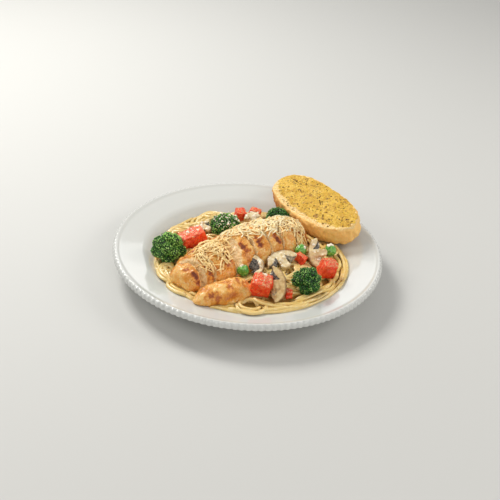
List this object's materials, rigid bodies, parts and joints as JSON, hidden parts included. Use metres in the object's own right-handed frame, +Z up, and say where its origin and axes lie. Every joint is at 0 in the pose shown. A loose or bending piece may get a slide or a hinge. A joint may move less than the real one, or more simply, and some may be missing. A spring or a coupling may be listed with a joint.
{
  "type": "plated pasta dish",
  "caption": "Plate of fettuccine alfredo with sliced grilled chicken, broccoli, tomato, mushroom, peas and shredded cheese, with a slice of garlic bread on the rim.",
  "frame": {"origin": "on the table under the middle of the plate, whose foot ring stands at height 0", "axes": "+Z up, +X to the diner's right, +Y away from the diner, towards the side where the bread lies"},
  "size_m": [0.268, 0.268, 0.0535],
  "materials": {
    "china": "gloss",
    "pasta": "satin",
    "chicken": "satin",
    "broccoli": "satin",
    "tomato": "gloss",
    "mushroom": "satin",
    "pea": "gloss",
    "bread": "matte"
  },
  "bodies": {
    "root": {"plate": "china", "pasta": "pasta", "garlic_bread": "bread", "chicken_tender": "chicken", "chicken_slice_1": "chicken", "chicken_slice_2": "chicken", "chicken_slice_3": "chicken", "chicken_slice_4": "chicken", "chicken_slice_5": "chicken", "chicken_slice_6": "chicken", "chicken_slice_7": "chicken", "chicken_slice_8": "chicken", "pea_middle": "pea", "pea_back": "pea", "pea_right": "pea", "tomato_left": "tomato", "tomato_back_left": "tomato", "tomato_back_right": "tomato", "tomato_front": "tomato", "tomato_right": "tomato", "tomato_middle": "tomato", "tomato_strip": "tomato", "broccoli_left": "broccoli", "broccoli_back_left": "broccoli", "broccoli_back": "broccoli", "broccoli_front": "broccoli", "mushroom_front": "mushroom", "mushroom_right": "mushroom", "mushroom_middle": "mushroom", "mushroom_low": "mushroom", "mushroom_left": "mushroom", "mushroom_back": "mushroom"}
  },
  "joints": []
}
